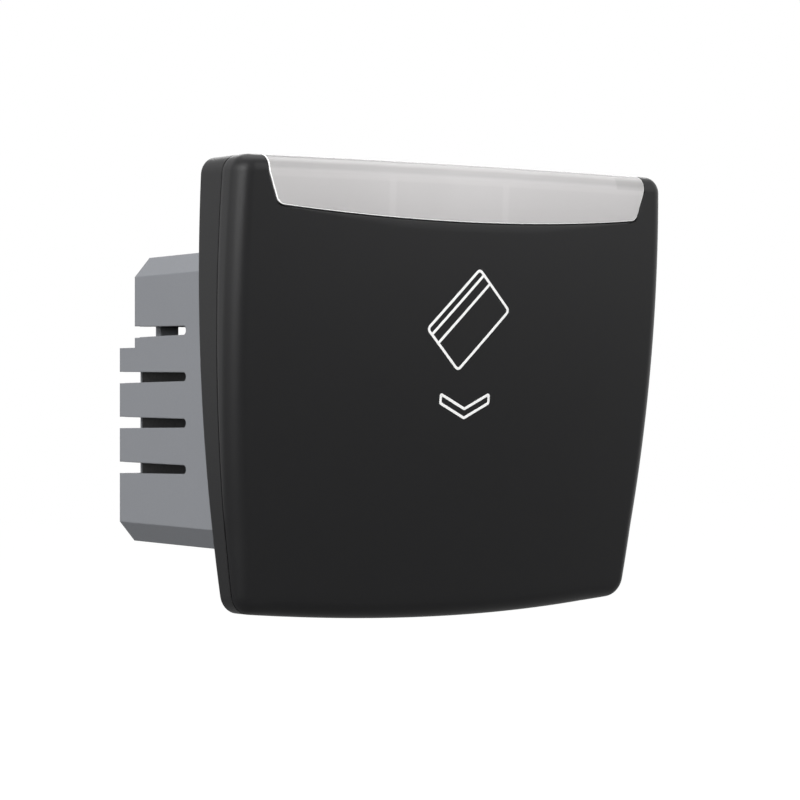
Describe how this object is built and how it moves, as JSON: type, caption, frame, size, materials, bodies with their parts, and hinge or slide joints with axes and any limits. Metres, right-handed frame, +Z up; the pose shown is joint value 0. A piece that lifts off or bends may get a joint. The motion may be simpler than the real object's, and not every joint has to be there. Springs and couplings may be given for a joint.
{
  "type": "key card switch",
  "caption": "Wall switch worked by a key card: black bulged cover with a card pocket and a lit upper edge, on a grey slotted wiring case with a lever, a plunger and contacts inside.",
  "frame": {"origin": "centre of the module window, in the wall plane", "axes": "+X across the wall, +Y into the wall, +Z up; the cover faces -Y"},
  "size_m": [0.0824, 0.0484, 0.0691],
  "materials": {
    "cover_black": "fine satin moulding",
    "frame_black": "fine satin moulding",
    "diffuser": "frosted translucent moulding",
    "case_grey": "fine matt moulding",
    "block_black": "glass-filled moulding",
    "lever_white": "smooth moulding",
    "plunger_cream": "smooth moulding",
    "steel": "drawn wire and pin",
    "zinc_steel": "zinc plated",
    "copper": "rolled copper strip",
    "silver": "silver alloy rivet",
    "brass": "machined brass",
    "board_green": "solder mask on glass-epoxy",
    "led_white": "moulded epoxy",
    "chip_black": "moulded epoxy"
  },
  "bodies": {
    "root": {"front_cover": "cover_black", "light_bar": "diffuser", "rear_frame": "frame_black", "rear_case": "case_grey", "contact_block": "block_black", "contact_base": "block_black", "lever_pin": "steel", "return_spring": "steel", "line_strip": "copper", "load_strip": "copper", "fixed_tips": "silver", "neutral_strip": "brass", "pilot_strip": "brass", "terminal_cages": "brass", "terminal_screws": "zinc_steel", "case_screws": "zinc_steel", "led_board": "board_green", "leds": "led_white", "led_resistors": "chip_black", "rectifier": "chip_black", "board_screws": "zinc_steel"},
    "lever": {"card_lever": "lever_white"},
    "plunger": {"plunger": "plunger_cream", "contact_bridge": "copper", "bridge_tips": "silver", "contact_spring": "steel", "stem_clip": "steel"}
  },
  "joints": [
    {"name": "lever_pivot", "type": "hinge", "parent": "root", "child": "lever", "pos_m": [0, 0.007, 0.004], "axis": [1, 0, 0], "range_deg": [0, 8.5], "stiffness_Nm_per_rad": 0.07, "springref_deg": -14.32},
    {"name": "plunger_slide", "type": "slide", "parent": "root", "child": "plunger", "axis": [0, 1, 0], "range_m": [0, 0.0018], "deforming": ["return_spring"]}
  ],
  "couplings": [
    {"joint": "plunger_slide", "follows": "lever_pivot", "m_per_rad": 0.012}
  ]
}
